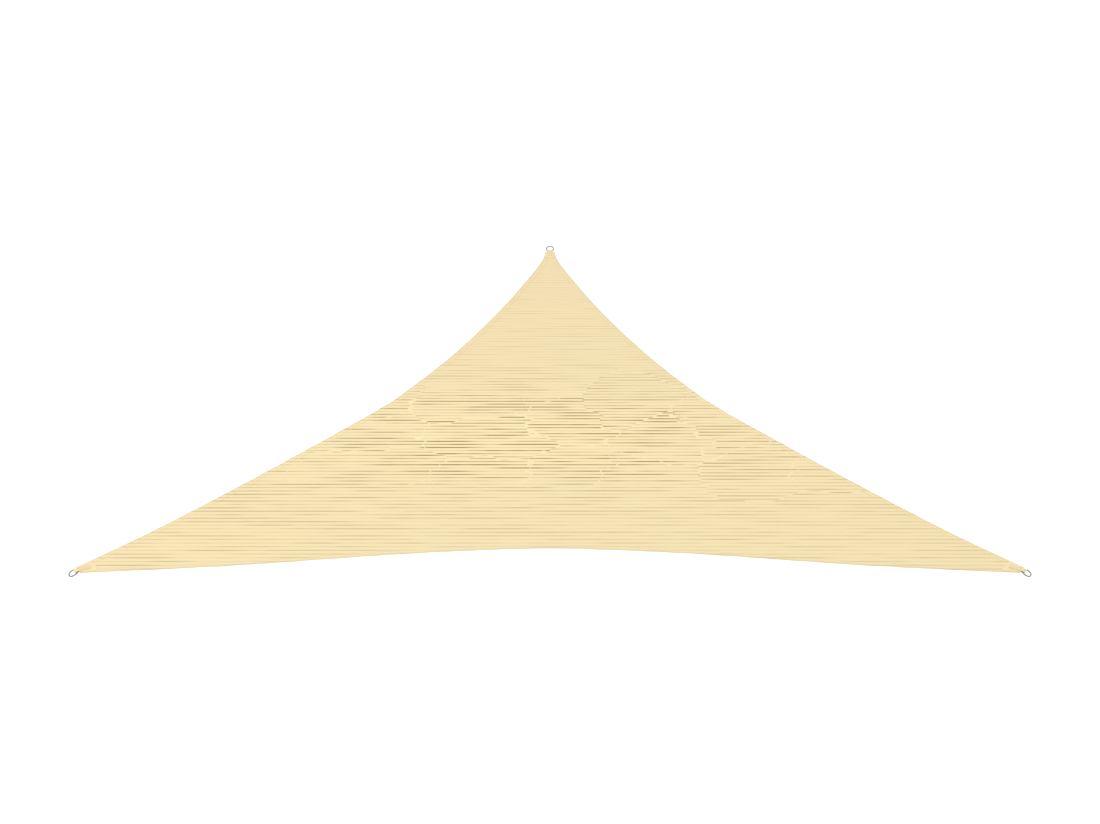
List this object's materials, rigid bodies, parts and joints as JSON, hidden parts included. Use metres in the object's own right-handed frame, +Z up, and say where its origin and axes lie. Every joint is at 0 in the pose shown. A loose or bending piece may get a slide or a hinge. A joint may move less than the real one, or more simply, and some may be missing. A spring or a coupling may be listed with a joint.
{
  "type": "shade sail",
  "caption": "Triangular shade sail of knitted cloth, stretched level, with hollow hemmed edges and a sewn patch, webbing loop and round wire ring at each corner.",
  "frame": {"origin": "the rear fixing point: where the rear ring's centre lies when that ring is pulled straight", "axes": "+X along the front edge to the right, +Y from the front edge towards the rear corner, +Z up, square to the plane of the fixing points"},
  "size_m": [5.047, 4.3769, 0.048],
  "materials": {
    "shade_cloth": "beige knitted shade cloth in narrow bands, matt",
    "patch_cloth": "plain close-woven beige cloth, matt",
    "webbing": "beige woven strap, slightly glossy",
    "steel": "polished stainless wire"
  },
  "bodies": {
    "root": {"sail_cloth": "shade_cloth", "patch_rear": "patch_cloth", "patch_front_left": "patch_cloth", "patch_front_right": "patch_cloth", "strap_rear": "webbing", "strap_front_left": "webbing", "strap_front_right": "webbing", "ring_rear": "steel", "ring_front_left": "steel", "ring_front_right": "steel"}
  },
  "joints": []
}
